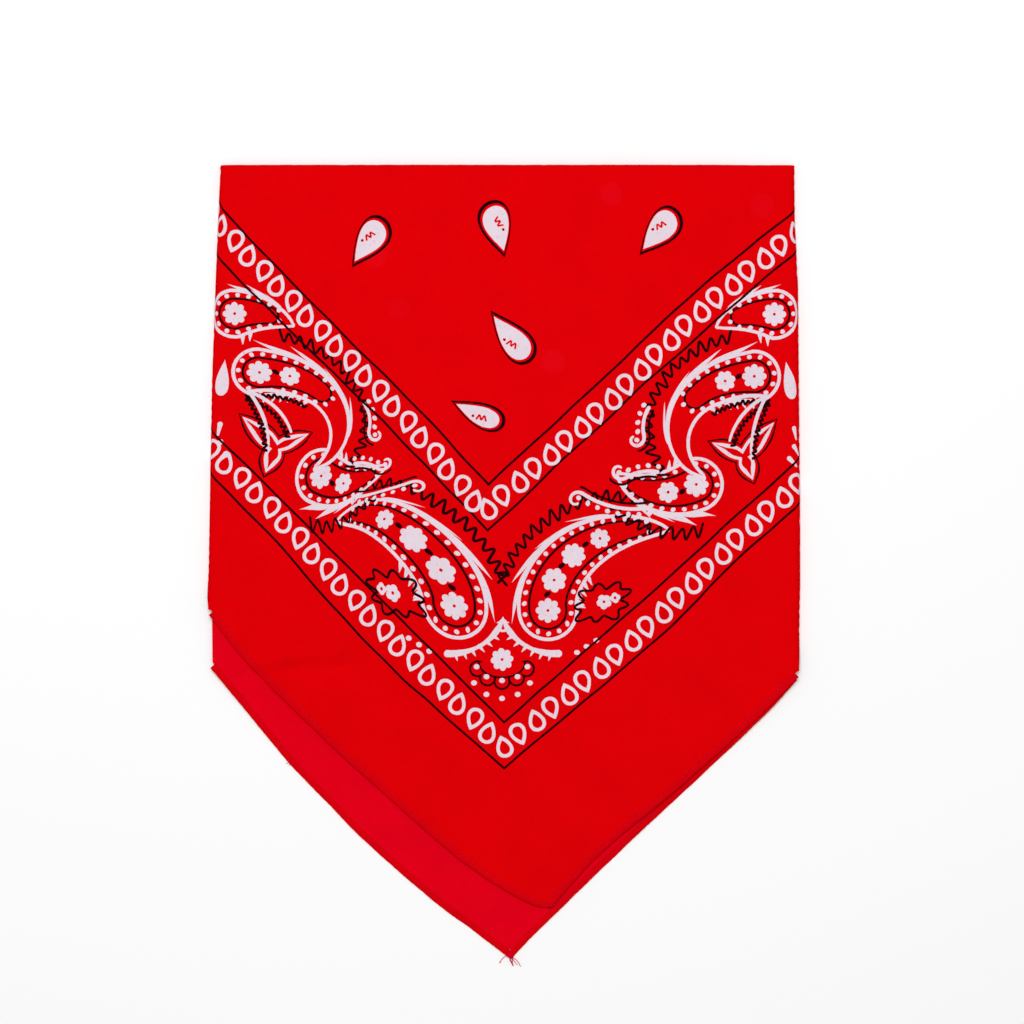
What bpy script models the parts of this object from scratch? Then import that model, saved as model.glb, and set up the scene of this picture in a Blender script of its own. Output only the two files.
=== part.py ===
# A square cotton bandana, lying flat. It is folded once from corner to corner, so that two layers
# hang below the top fold, and then both side corners are turned under it.
# +X runs across the folded bandana, +Y from its point up to the top fold, +Z away from the table.
# The origin is on the table, under the middle of the folded shape.

import math

import bmesh
import bpy
import numpy as np

MM = 0.001

# Driving dimensions, in millimetres.
CLOTH_SIDE = 543.8  # the hemmed square, before it is folded
FOLD_SHIFT = 13.0  # how far the top fold lies off the square's diagonal
DIAGONAL = CLOTH_SIDE * math.sqrt(2)
FRONT_DEPTH = DIAGONAL / 2 - FOLD_SHIFT  # top fold to the front layer's point
BACK_DEPTH = DIAGONAL / 2 + FOLD_SHIFT  # top fold to the back layer's point

WALL = 1.0  # one layer of cloth
FLAP_WALL = 1.6  # a turned-under corner, whose two layers share one solid
SEAM = 0.3  # between neighbouring pieces
SIDE_INSET = WALL + 4 * SEAM  # from a side fold's outer face to the layers inside it
LAYER_AIR = 0.7  # between the front layer and the back layer
TIP_WIDTH = 2.0  # a panel is cut off square where it gets this narrow
FLAP_TIP_WIDTH = 10.0  # and so is a flap, clear of the side fold's end
HEM_WIDTH = 3.4
HEM_INSET = HEM_WIDTH + 2 * SEAM  # from a hem's outer edge to the panel it is sewn on
HEM_THICK = 1.3  # a hem's turned edge is thicker than the panel
FLAP_STEP = 0.6  # thickness of a flap's lower layer where the upper one runs on alone

# The edges, each from the top fold down. "down" is the distance below the top fold and
# "across" the place along X.
EDGE_COLUMNS = ("down", "across")
SIDE_LEFT = (
    (0.0, -142.0),
    (45.0, -144.0),
    (110.0, -146.4),
    (180.0, -147.6),
    (216.0, -148.5),
    (225.0, -147.6),
)
SIDE_RIGHT = (
    (0.0, 145.5),
    (25.0, 145.6),
    (60.0, 147.3),
    (120.0, 147.9),
    (180.0, 148.5),
    (212.0, 148.5),
    (248.0, 147.8),
    (256.0, 147.3),
)
FRONT_HEM_LEFT = (
    (225.0, -147.6),
    (251.0, -126.5),
    (289.0, -88.0),
    (312.0, -62.5),
    (335.0, -37.0),
    (350.5, -18.0),
    (363.0, 1.0),
    (369.8, 14.0),
    (FRONT_DEPTH, 22.5),
)
FRONT_HEM_RIGHT = (
    (256.0, 147.3),
    (276.5, 126.5),
    (309.0, 90.5),
    (339.0, 54.0),
    (355.5, 37.5),
    (FRONT_DEPTH, 23.5),
)
BACK_SIDE_LEFT = SIDE_LEFT + ((237.5, -146.2), (251.5, -147.0))
BACK_HEM_LEFT = (
    (251.5, -147.0),
    (276.5, -126.5),
    (299.5, -107.5),
    (319.7, -88.0),
    (339.0, -69.0),
    (367.0, -37.0),
    (382.0, -17.2),
    (BACK_DEPTH, 3.2),
)
BACK_HEM_RIGHT = (
    (257.5, 146.6),
    (273.0, 132.6),
    (302.0, 102.6),
    (335.5, 66.5),
    (376.5, 24.1),
    (393.5, 7.1),
    (BACK_DEPTH, 4.2),
)

# The turned-under corners. The hem of a flap runs from the side fold up to the top fold, and the
# flap's upper layer runs on past that hem, by "start" at the side fold and "end" at the top fold.
FLAPS = {
    "left": {"side_down": 225.0, "side_across": -147.6, "tip_across": 87.0, "start": 16.5, "end": 1.0},
    "right": {"side_down": 256.0, "side_across": 147.3, "tip_across": -91.0, "start": 1.0, "end": 32.0},
}

# The largest folds of the front layer, each a soft ridge between two points.
FOLD_COLUMNS = ("across_a", "down_a", "across_b", "down_b", "width", "lift")
FRONT_FOLDS = (
    (-60.0, 118.0, -73.0, 168.0, 6.0, 1.4),
    (-73.0, 168.0, -65.0, 200.0, 6.0, 1.8),
    (-65.0, 200.0, -16.0, 226.0, 6.0, 1.4),
    (-126.0, 214.0, -119.0, 244.0, 9.0, 1.2),
    (-112.0, 256.0, -78.0, 251.0, 8.0, 1.2),
    (43.0, 12.0, 56.0, 104.0, 16.0, 0.8),
    (-49.0, 34.0, -37.0, 84.0, 10.0, 0.7),
    (58.0, 262.0, 98.0, 236.0, 12.0, 0.8),
    (26.0, 362.0, 96.0, 304.0, 16.0, 1.6),
    (-24.0, 300.0, 40.0, 292.0, 14.0, 0.7),
)

RIM_ROUND = 2.4  # how far in from a folded edge the cloth starts to turn down
RIM_STEPS = 3  # rows of faces round that turn
RIM_FLOOR = 0.3  # height of a side fold's lower edge above the table
RIM_END = 14.0  # a side fold opens out over this length, and stops this far above the hem
DRAPE_NEAR = 4.0  # a layer stays up this far past what it lies on
DRAPE_FAR = 62.0  # and has come down to the table here

COTTON_RED = (0.78, 0.004, 0.012)
COTTON_WRONG_SIDE = (0.72, 0.005, 0.03)
HEM_RED = (0.70, 0.004, 0.014)


def clear_scene():
    for obj in list(bpy.data.objects):
        bpy.data.objects.remove(obj)


def cotton(name, colour, roughness=0.9):
    material = bpy.data.materials.new(name)
    material.use_nodes = True
    shader = material.node_tree.nodes["Principled BSDF"]
    shader.inputs["Base Color"].default_value = (*colour, 1.0)
    shader.inputs["Roughness"].default_value = roughness
    shader.inputs["Metallic"].default_value = 0.0
    return material


def edge_at(edge, down):
    """The edge's place across at each distance down."""
    table = np.array(edge)
    return np.interp(down, table[:, 0], table[:, 1])


def to_place(across, down, height):
    """From millimetres across, below the top fold and above the table, to metres in the part's frame."""
    return (across * MM, (BACK_DEPTH / 2 - down) * MM, height * MM)


def smooth_step(share):
    share = np.clip(share, 0.0, 1.0)
    return share * share * (3 - 2 * share)


def outside_distance(across, down, outline):
    """How far each point is outside a closed outline, and 0 inside it."""
    corners = np.array(outline)
    nearest = np.full(np.shape(across), np.inf)
    inside = np.zeros(np.shape(across), bool)
    for start, end in zip(corners, np.roll(corners, -1, axis=0)):
        run = end - start
        along = ((across - start[0]) * run[0] + (down - start[1]) * run[1]) / (run @ run)
        along = np.clip(along, 0.0, 1.0)
        gap = np.hypot(across - start[0] - along * run[0], down - start[1] - along * run[1])
        nearest = np.minimum(nearest, gap)
        crosses = (start[1] > down) != (end[1] > down)
        slope = run[0] / run[1] if run[1] else 0.0
        inside ^= crosses & (across < start[0] + (down - start[1]) * slope)
    return np.where(inside, 0.0, nearest)


def flap_outline(side):
    """The corners of one flap with its upper layer's overhang, as (across, down)."""
    flap = FLAPS[side]
    tip = np.array((flap["tip_across"], 0.0))
    side_end = np.array((flap["side_across"], flap["side_down"]))
    run = (tip - side_end) / np.linalg.norm(tip - side_end)
    outward = np.array((-run[1], run[0])) if side == "left" else np.array((run[1], -run[0]))
    return [
        (flap["side_across"], 0.0),
        tuple(tip),
        tuple(tip + outward * flap["end"]),
        tuple(side_end + outward * flap["start"]),
        tuple(side_end),
    ]


def cover(side, across, down):
    """1 where a layer above has to clear this flap, falling to 0 where it reaches the table."""
    gap = outside_distance(across, down, flap_outline(side))
    return 1.0 - smooth_step((gap - DRAPE_NEAR) / (DRAPE_FAR - DRAPE_NEAR))


def right_flap_base(across, down):
    return np.zeros(np.shape(across))


def left_flap_base(across, down):
    return (FLAP_WALL + SEAM) * cover("right", across, down)


def back_base(across, down):
    return (FLAP_WALL + SEAM) * (cover("right", across, down) + cover("left", across, down))


def fold_lift(across, down):
    """The front layer's soft ridges."""
    lift = np.zeros(np.shape(across))
    for across_a, down_a, across_b, down_b, width, height in FRONT_FOLDS:
        run = np.array((across_b - across_a, down_b - down_a))
        along = ((across - across_a) * run[0] + (down - down_a) * run[1]) / (run @ run)
        held = np.clip(along, 0.0, 1.0)
        gap = np.hypot(across - across_a - held * run[0], down - down_a - held * run[1])
        lift = np.maximum(lift, height * np.exp(-((gap / width) ** 2)))
    return lift


def front_base(across, down):
    return back_base(across, down) + WALL + LAYER_AIR + fold_lift(across, down)


def with_hem(side, hem_edge):
    """A panel's whole edge: down its side to the corner, and then along its hem."""
    return tuple(side[:-1]) + tuple(hem_edge)


def inset(edge, amount, direction):
    """The edge moved towards the middle, square to itself. direction is +1 on the left, -1 on the right."""
    table = np.array(edge)
    runs = np.gradient(table, axis=0)
    runs /= np.linalg.norm(runs, axis=1)[:, None]
    moved = table + amount * direction * np.stack((-runs[:, 1], runs[:, 0]), axis=1)
    return tuple(map(tuple, moved))


def rows_between(start, end, count):
    return np.linspace(start, end, count + 1)


def last_row(left, right, width=TIP_WIDTH):
    """How far down a panel goes before its two edges are only this width apart."""
    downs = np.arange(0.0, BACK_DEPTH, 0.1)
    wide = edge_at(right, downs) - edge_at(left, downs) > width
    return downs[wide][-1]


def surface_grid(name, across, down, height):
    """A sheet of quads through a table of points, facing up."""
    rows, columns = across.shape
    mesh = bpy.data.meshes.new(name)
    sheet = bmesh.new()
    bmesh.ops.create_grid(sheet, x_segments=columns - 1, y_segments=rows - 1, size=0.5)
    sheet.verts.ensure_lookup_table()
    for index, vertex in enumerate(sheet.verts):
        row, column = divmod(index, columns)
        row = rows - 1 - row  # the grid's first row is its lowest, and the tables start at the top fold
        vertex.co = to_place(across[row, column], down[row, column], height[row, column])
    sheet.to_mesh(mesh)
    sheet.free()
    obj = bpy.data.objects.new(name, mesh)
    COLLECTION.objects.link(obj)
    return obj


def finish(obj, material):
    obj.data.materials.append(material)
    obj.data.shade_smooth()
    obj.data.set_sharp_from_angle(angle=math.radians(40))
    return obj


def thicken(obj, wall, upward):
    """Gives the sheet its wall, above its faces or below them."""
    solid = obj.modifiers.new("Wall", "SOLIDIFY")
    solid.thickness = wall * MM
    solid.offset = 1.0 if upward else -1.0
    solid.use_even_offset = False
    return obj


def panel_points(left, right, downs, shares):
    """Points across a panel: one row for each distance down, spread between its two edges."""
    left_at = edge_at(left, downs)[:, None]
    right_at = edge_at(right, downs)[:, None]
    across = left_at + (right_at - left_at) * np.asarray(shares)[None, :]
    down = np.repeat(downs[:, None], across.shape[1], axis=1)
    return across, down


def flat_panel(name, left, right, downs, columns, base, wall, material):
    """A layer whose underside is at base and whose wall stands on it."""
    across, down = panel_points(left, right, downs, np.linspace(0, 1, columns + 1))
    obj = surface_grid(name, across, down, base(across, down))
    return finish(thicken(obj, wall, upward=True), material)


def rim_fall(inward, drop):
    """How far a folded edge has come down at this distance in from it: a quarter ellipse."""
    out = 1.0 - np.clip(inward / RIM_ROUND, 0.0, 1.0)
    return drop * (1.0 - np.sqrt(1.0 - out * out))


def front_layer(material):
    """The front panel. Its sides turn down to the table and its top turns down to the back layer."""
    turn = np.linspace(0.0, math.pi / 2, RIM_STEPS + 1)[:-1]
    rim = RIM_ROUND * (1.0 - np.cos(turn))
    hem_left = inset(FRONT_HEM_LEFT, HEM_INSET, 1)
    hem_right = inset(FRONT_HEM_RIGHT, HEM_INSET, -1)
    left = with_hem(SIDE_LEFT, hem_left)
    right = with_hem(SIDE_RIGHT, hem_right)
    downs = np.concatenate((
        rim,
        rows_between(RIM_ROUND, hem_left[0][0], 16),
        rows_between(hem_left[0][0], hem_right[0][0], 3)[1:],
        rows_between(hem_right[0][0], last_row(left, right), 9)[1:],
    ))
    left_at, right_at = edge_at(left, downs), edge_at(right, downs)
    across, down, height = [], [], []
    for row, (low, high) in enumerate(zip(left_at, right_at)):
        reach = min(RIM_ROUND, (high - low) / 8)
        rim_row = rim * reach / RIM_ROUND
        middle = np.linspace(low + reach, high - reach, 19)
        line = np.concatenate((low + rim_row, middle, (high - rim_row)[::-1]))
        at = np.full(len(line), downs[row])
        top = front_base(line, at) + WALL
        left_fold = smooth_step((SIDE_LEFT[-1][0] - RIM_END - downs[row]) / RIM_END)
        right_fold = smooth_step((SIDE_RIGHT[-1][0] - RIM_END - downs[row]) / RIM_END)
        fall = rim_fall(at, WALL * 2 + LAYER_AIR)
        fall = np.maximum(fall, rim_fall(line - low, (top - RIM_FLOOR) * left_fold))
        fall = np.maximum(fall, rim_fall(high - line, (top - RIM_FLOOR) * right_fold))
        across.append(line)
        down.append(at)
        height.append(top - fall)
    obj = surface_grid("front_layer", np.array(across), np.array(down), np.array(height))
    return finish(thicken(obj, WALL, upward=False), material)


def back_layer(material):
    """The back panel, inside the front panel's turned sides."""
    hem_left = inset(BACK_HEM_LEFT, HEM_INSET, 1)
    hem_right = inset(BACK_HEM_RIGHT, HEM_INSET, -1)
    left = with_hem(inset(BACK_SIDE_LEFT, SIDE_INSET, 1), hem_left)
    right = with_hem(inset(SIDE_RIGHT, SIDE_INSET, -1), hem_right)
    downs = np.concatenate((
        rows_between(WALL + 2 * SEAM, hem_left[0][0], 18),
        rows_between(hem_right[0][0], last_row(left, right), 11),
    ))
    return flat_panel("back_layer", left, right, downs, 20, back_base, WALL, material)


def flap(side, base, material):
    """A corner that is turned under: two layers of cloth as one wall."""
    size = FLAPS[side]
    sign = 1 if side == "left" else -1
    fold = inset(SIDE_LEFT if side == "left" else SIDE_RIGHT, SIDE_INSET, sign)
    hem = ((0.0, size["tip_across"]), (size["side_down"], size["side_across"]))
    hem = inset(hem, HEM_INSET * sign, -1)
    left, right = (fold, hem) if side == "left" else (hem, fold)
    downs = rows_between(SIDE_INSET, last_row(left, right, FLAP_TIP_WIDTH), 18)
    return flat_panel(f"{side}_flap", left, right, downs, 15, base, FLAP_WALL, material)


def loft(name, sections, material):
    """A closed solid through equal loops of points, with a face at each end."""
    shape = bmesh.new()
    loops = [[shape.verts.new(to_place(*point)) for point in section] for section in sections]
    for first, second in zip(loops, loops[1:]):
        for index in range(len(first)):
            after = (index + 1) % len(first)
            shape.faces.new((first[index], first[after], second[after], second[index]))
    shape.faces.new(loops[0][::-1])
    shape.faces.new(loops[-1])
    bmesh.ops.recalc_face_normals(shape, faces=shape.faces)
    mesh = bpy.data.meshes.new(name)
    shape.to_mesh(mesh)
    shape.free()
    obj = bpy.data.objects.new(name, mesh)
    COLLECTION.objects.link(obj)
    return finish(obj, material)


def even_points(edge, count):
    """Points at equal distances along an edge, as (across, down), and the direction there."""
    table = np.array(edge)[:, ::-1]
    lengths = np.linalg.norm(np.diff(table, axis=0), axis=1)
    along = np.concatenate(([0.0], np.cumsum(lengths)))
    at = np.linspace(0.0, along[-1], count + 1)
    points = np.stack([np.interp(at, along, table[:, axis]) for axis in (0, 1)], axis=1)
    runs = np.gradient(points, axis=0)
    return points, runs / np.linalg.norm(runs, axis=1)[:, None]


def hem(name, edge, inward_sign, base, count, trim_start, trim_end, material):
    """The turned and sewn edge of a panel: a flat bar with a rounded outer side."""
    points, runs = even_points(edge, count)
    length = np.linalg.norm(np.diff(points, axis=0), axis=1).sum()
    points[0] += runs[0] * trim_start
    points[-1] -= runs[-1] * trim_end
    assert length > trim_start + trim_end
    inward = inward_sign * np.stack((runs[:, 1], -runs[:, 0]), axis=1)
    section = (
        (HEM_WIDTH, 0.0),
        (0.4, 0.0),
        (0.0, 0.4),
        (0.0, HEM_THICK - 0.4),
        (0.4, HEM_THICK),
        (HEM_WIDTH, HEM_THICK),
    )
    sections = []
    for point, into in zip(points, inward):
        loop = []
        for reach, rise in section:
            place = point + into * reach
            loop.append((place[0], place[1], float(base(place[0], place[1])) + rise))
        sections.append(loop)
    return loft(name, sections, material)


def flap_hem(side, base, material):
    """The hem of a flap. Its two layers part at the edge, and the upper one runs on past it."""
    size = FLAPS[side]
    sign = 1 if side == "left" else -1
    start = np.array((size["side_across"], size["side_down"]))
    end = np.array((size["tip_across"], 0.0))
    run = (end - start) / np.linalg.norm(end - start)
    outward = sign * np.array((-run[1], run[0]))
    start_trim, end_trim = WALL + 2.2 * HEM_WIDTH, 2.0 * HEM_WIDTH
    sections = []
    for share in np.linspace(0.0, 1.0, 17):
        point = start + run * (start_trim + share * (np.linalg.norm(end - start) - start_trim - end_trim))
        over = size["start"] + share * (size["end"] - size["start"])
        loop = []
        for reach, rise in (
            (-HEM_WIDTH, 0.0),
            (0.0, 0.0),
            (0.0, FLAP_STEP - 0.25),
            (-1.6, FLAP_STEP - 0.25),
            (-1.6, FLAP_STEP),
            (over, FLAP_STEP),
            (over, FLAP_WALL),
            (-HEM_WIDTH, FLAP_WALL),
        ):
            place = point + outward * reach
            loop.append((place[0], place[1], float(base(place[0], place[1])) + rise))
        sections.append(loop)
    return loft(f"{side}_flap_hem", sections, material)


clear_scene()
COLLECTION = bpy.data.collections.new("folded_bandana")
bpy.context.scene.collection.children.link(COLLECTION)

red = cotton("cotton_red", COTTON_RED)
wrong_side = cotton("cotton_wrong_side", COTTON_WRONG_SIDE)
hem_red = cotton("hem_red", HEM_RED)

front_layer(red)
back_layer(wrong_side)
flap("left", left_flap_base, red)
flap("right", right_flap_base, red)
hem("front_hem_left", FRONT_HEM_LEFT, 1, front_base, 24, 1.0, 0.0, hem_red)
hem("front_hem_right", FRONT_HEM_RIGHT, -1, front_base, 24, 1.0, HEM_WIDTH + SEAM, hem_red)
hem("back_hem_left", BACK_HEM_LEFT, 1, back_base, 24, 3.0, 0.0, hem_red)
hem("back_hem_right", BACK_HEM_RIGHT, -1, back_base, 24, 3.0, HEM_WIDTH + SEAM, hem_red)
flap_hem("left", left_flap_base, hem_red)
flap_hem("right", right_flap_base, hem_red)
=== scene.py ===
import math
import bpy
import numpy as np
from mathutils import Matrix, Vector, noise
from mathutils.geometry import delaunay_2d_cdt


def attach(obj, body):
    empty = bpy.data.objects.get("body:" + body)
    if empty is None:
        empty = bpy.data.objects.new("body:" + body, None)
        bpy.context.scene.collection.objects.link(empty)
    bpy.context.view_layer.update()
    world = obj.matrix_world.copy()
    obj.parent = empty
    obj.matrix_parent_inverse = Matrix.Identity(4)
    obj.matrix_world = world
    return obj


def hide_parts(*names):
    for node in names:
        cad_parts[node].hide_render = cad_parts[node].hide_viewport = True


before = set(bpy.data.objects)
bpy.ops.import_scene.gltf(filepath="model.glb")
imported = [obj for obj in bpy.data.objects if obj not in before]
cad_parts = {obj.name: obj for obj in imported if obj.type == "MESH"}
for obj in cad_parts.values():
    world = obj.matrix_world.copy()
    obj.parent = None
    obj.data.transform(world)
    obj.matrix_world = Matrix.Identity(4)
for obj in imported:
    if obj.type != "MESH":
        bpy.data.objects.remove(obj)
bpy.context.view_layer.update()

mm = 0.001

# lines and outlines, flat, in millimetres

def respaced(line, step):
    run = np.linalg.norm(np.diff(line, axis=0), axis=1)
    along = np.concatenate(([0.0], np.cumsum(run)))
    count = max(2, int(round(along[-1] / step))) + 1
    at = np.linspace(0.0, along[-1], count)
    return np.stack([np.interp(at, along, line[:, k]) for k in range(line.shape[1])], axis=1)


def smoothPath(points, step=0.4, closed=False):
    p = np.array(points, float)
    if len(p) == 2:
        return respaced(p, step)
    if closed:
        ring = np.vstack((p[-1:], p, p[:2]))
    else:
        ring = np.vstack((2 * p[:1] - p[1:2], p, 2 * p[-1:] - p[-2:-1]))
    t = np.linspace(0, 1, 16, endpoint=False)[:, None]
    parts = []
    for a, b, c, d in zip(ring, ring[1:], ring[2:], ring[3:]):
        parts.append(0.5 * (2 * b + (c - a) * t + (2 * a - 5 * b + 4 * c - d) * t**2 + (3 * b - a - 3 * c + d) * t**3))
    parts.append(p[:1] if closed else p[-1:])
    return respaced(np.vstack(parts), step)


def sideways(line):
    run = np.gradient(line, axis=0)
    run /= np.maximum(np.linalg.norm(run, axis=1), 1e-9)[:, None]
    return np.stack((-run[:, 1], run[:, 0]), axis=1)


def sized(widths, count):
    w = np.atleast_1d(np.array(widths, float))
    if len(w) == 1:
        return np.full(count, w[0])
    table = smoothPath(np.stack((np.arange(len(w)), w), axis=1), 0.05)
    return np.interp(np.linspace(0, len(w) - 1, count), table[:, 0], table[:, 1])


def sweep(line, widths):
    # the outline of a brush drawn along a line, round at both ends
    half = sized(widths, len(line)) / 2
    out = sideways(line)
    left, right = line + out * half[:, None], line - out * half[:, None]
    caps = []
    for end, sign in ((-1, 1.0), (0, -1.0)):
        ahead = np.array((out[end][1], -out[end][0])) * sign
        turn = np.linspace(0, math.pi, 4 + int(half[end] * 6))[1:-1, None]
        caps.append(line[end] + half[end] * (out[end] * sign * np.cos(turn) + ahead * np.sin(turn)))
    return np.vstack((left, caps[0], right[::-1], caps[1]))


# the print
inks = []


def put(colour, outline):
    inks.append((colour, np.array(outline, float)))


def brush(colour, points, widths, step=0.35):
    if colour == "black":
        widths = np.array(widths) * 1.4
    put(colour, sweep(smoothPath(points, step), widths))


def disc(colour, centre, across, tall=None, turn=0.0):
    tall = across if tall is None else tall
    a = np.linspace(0, 2 * math.pi, 20, endpoint=False)
    x, y = across / 2 * np.cos(a), tall / 2 * np.sin(a)
    c, s = math.cos(turn), math.sin(turn)
    put(colour, np.stack((centre[0] + x * c - y * s, centre[1] + x * s + y * c), axis=1))


def flower(centre, size, petals=8, turn=0.2, heart=True):
    a = np.linspace(0, 2 * math.pi, petals * 10, endpoint=False)
    r = size / 2 * (0.74 + 0.26 * np.abs(np.cos(petals * (a - turn) / 2)) ** 0.7)
    put("white", np.stack((centre[0] + r * np.cos(a), centre[1] + r * np.sin(a)), axis=1))
    if heart:
        disc("red", centre, 1.5)


def dropOutline(centre, length, width, heading, bend=0.0, point=1.3):
    # round behind, pointed at its heading, in degrees
    a = np.linspace(0, 2 * math.pi, 44, endpoint=False)
    x = length / 2 * np.cos(a)
    y = width / 2 * 1.24 * np.sin(a) * np.sin(a / 2) ** point
    y += bend * (x / length + 0.5) ** 2 * length
    h = math.radians(heading)
    return np.stack((centre[0] + x * math.cos(h) - y * math.sin(h),
            centre[1] + x * math.sin(h) + y * math.cos(h)), axis=1)


def beads(points, spacing, size, seed=0):
    line = respaced(smoothPath(points, 0.2), spacing)
    for k, p in enumerate(line):
        n = noise.noise(Vector((k * 1.7, seed * 3.1, 0.4)))
        disc("white", p, size * (1 + 0.25 * n), size * (0.85 - 0.15 * n), n * 3)


def jagged(points, pitch, reach, lean, width=0.8, seed=0):
    # a hand-drawn zigzag along a line
    line = smoothPath(points, 0.2)
    out = sideways(line)
    count = int(len(line) * 0.2 / pitch * 2)
    spots = []
    for k in range(count + 1):
        n = noise.noise(Vector((k * 0.83, seed * 2.3, 1.7)))
        at = min(len(line) - 1, max(0,
                int(k / count * (len(line) - 1) + (lean if k % 2 else -lean) / 0.2 * (1 + 0.5 * n))))
        side = 1 if k % 2 else -1
        spots.append(line[at] + out[at] * side * reach * (1 + 0.7 * n))
    brush("black", spots, width, 0.3)


def feather(points, barbs, finish, hug=0.4, side=1):
    # long pointed barbs that grow along a line: (root, how far the tip hangs back, height)
    line = smoothPath(points, 0.2)
    out = sideways(line) * side

    def at(s, h):
        k = int(np.clip(round(s / 0.2), 0, len(line) - 1))
        return line[k] + out[k] * h + min(s, 0.0) * side * np.array((out[0][1], -out[0][0]))

    edge = []
    for n, (root, over, high) in enumerate(barbs):
        tail = barbs[n + 1][0] if n + 1 < len(barbs) else finish
        edge.append(at(root, 0.35 if n else 0.0))
        for t in np.linspace(0, 1, 10):
            s = root - over + (tail - root + over) * t
            edge.append(at(s, high * (1 - t) ** 0.9 * (1 - 0.25 * math.sin(math.pi * t)) + 0.35 * t))
    edge.append(at(finish, 0.0))
    back = [at(s, -hug) for s in np.linspace(finish, max(barbs[0][0], 0.0), 40)]
    put("white", np.vstack((edge, back)))


def curling(place, length, start, turn, ease, step=0.35):
    # a line that leaves a place at one heading and turns as it goes, both in degrees
    t = np.linspace(0, 1, int(length / step))
    heading = np.radians(start + turn * t ** ease)
    run = np.stack((np.cos(heading), np.sin(heading)), axis=1) * length / len(t)
    return np.array(place) + np.cumsum(run, axis=0) - run[0]


def thorns(line, side, spacing, reach, width, lean=0.5):
    # short pointed strokes along a line
    out, step = sideways(line) * side, max(1, int(spacing / 0.35))
    for k in range(step // 2, len(line) - 1, step):
        along = line[min(k + 2, len(line) - 1)] - line[k]
        along /= np.linalg.norm(along)
        tip = line[k] + out[k] * reach - along * reach * lean
        put("white", sweep(respaced(np.array((line[k], tip)), 0.5), (width, 0.4)))


def barbs(line, side, count, reach, hug=0.5):
    # long flames that lie back along a line, each growing out of the one before
    total = len(line) * 0.35
    rows = [((k + 0.35) * total / count, total / count * 0.55,
            reach * (0.75 + 0.25 * math.sin(2.1 * k))) for k in range(count)]
    feather(line[::8], rows, total * 0.98, hug, side)


def paisley(row, look):
    # one curled drop with its inner line, beads, flowers, flames and a zigzag round its back
    line = curling(row["place"], row["length"], row["start"], row["turn"], row["ease"])
    side = 1 if row["turn"] < 0 else -1
    t = np.linspace(0, 1, len(line))
    full = row["width"] * (1 - t ** row["taper"]) ** 0.75 + look["tail"]
    out = sideways(line) * side
    back = line + out * (full / 2)[:, None]
    far = back + out * look["zigzagAway"]
    if row["length"] > look["zigzagFrom"]:
        jagged(far[int(len(far) * 0.1): int(len(far) * 0.88)][::10], look["zigzagPitch"], look["zigzagReach"],
                0.8, 0.95, row["seed"])
    barbs(back[: int(len(back) * 0.94)], side, row["flames"], row["flameReach"])
    put("white", sweep(line, full))
    put("red", sweep(line, np.maximum(full - 2 * look["line"], 0.2)))
    body = line[: int(len(line) * row["body"])]
    inner = np.maximum(full[: len(body)] * look["inner"], 1.4)
    put("black", sweep(body, inner))
    put("red", sweep(body, np.maximum(inner - 2 * look["innerLine"], 0.2)))
    middle = (full[: len(body)] - 2 * look["line"] + inner) / 2
    ring = sweep(body, middle)
    ring = respaced(np.vstack((ring, ring[:1])), look["beadPitch"])[:-1]
    for k, spot in enumerate(ring):
        n = noise.noise(Vector((k * 1.7, row["seed"] * 3.1, 0.4)))
        disc("white", spot, look["bead"] * (1 + 0.25 * n), look["bead"] * (0.88 - 0.15 * n), n * 3)
    for k in range(row["flowers"]):
        at = int(k * len(body) * 0.92 / row["flowers"])
        flower(line[at], max(7.0, min(12.4, inner[at] * 0.72)), 8 - k % 2, 0.3 * k, heart=k != 2)
        if k:
            gap = int((k - 0.48) * len(body) * 0.92 / row["flowers"])
            disc("black", line[gap] + out[gap] * 0.8, 3.8, 2.4, 0.6)
    under = line - out * (full / 2)[:, None]
    thorns(under[: int(len(under) * 0.42)], -side, 5.4, 3.4, 2.2)


def scroll(place, size, start, hand, tail, seed):
    # a hook that winds into itself, with a black line outside and beads inside
    a = np.linspace(0, 1.45 * math.pi, 40)
    r = size * np.exp(-0.24 * (1.45 * math.pi - a))
    h = math.radians(start)
    hook = np.stack((np.cos(h + hand * a) * r, np.sin(h + hand * a) * r), axis=1) + place
    leave = math.degrees(math.atan2(*(hook[-1] - hook[-3])[::-1]))
    line = respaced(np.vstack((hook, curling(hook[-1], tail, leave, -42 * hand, 1.0)[2:])), 0.35)
    out = sideways(line) * -hand
    skip = len(line) // 4
    put("black", sweep(line[skip:] + out[skip:] * 2.7, 1.2))
    put("white", sweep(line, (1.2, 1.7, 1.8, 1.7, 2.0)))
    for k, spot in enumerate(respaced(line[skip:] - out[skip:] * 2.8, 5.2)):
        n = noise.noise(Vector((k * 1.3, seed, 0.9)))
        disc("white", spot, 2.6 + 0.5 * n, 2.3, n * 3)


def wavyLeaf(place, size, turn, seed):
    # a black wavy ring with two small flowers in it
    a = np.linspace(0, 2 * math.pi, 160)
    r = size * (1 + 0.17 * np.sin(9 * a + seed) + 0.10 * np.sin(4 * a))
    c, s = math.cos(turn), math.sin(turn)
    x, y = r * np.cos(a) * 1.25, r * np.sin(a) * 0.8
    ring = np.stack((place[0] + x * c - y * s, place[1] + x * s + y * c), axis=1)
    put("black", sweep(respaced(ring, 0.35), 1.25))
    flower(np.array(place) + (size * 0.1 * c, size * 0.1 * s), size * 0.72, 5, 0.9)
    flower(np.array(place) + (size * 0.66 * c, size * 0.66 * s), size * 0.5, 4, 0.2)


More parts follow.
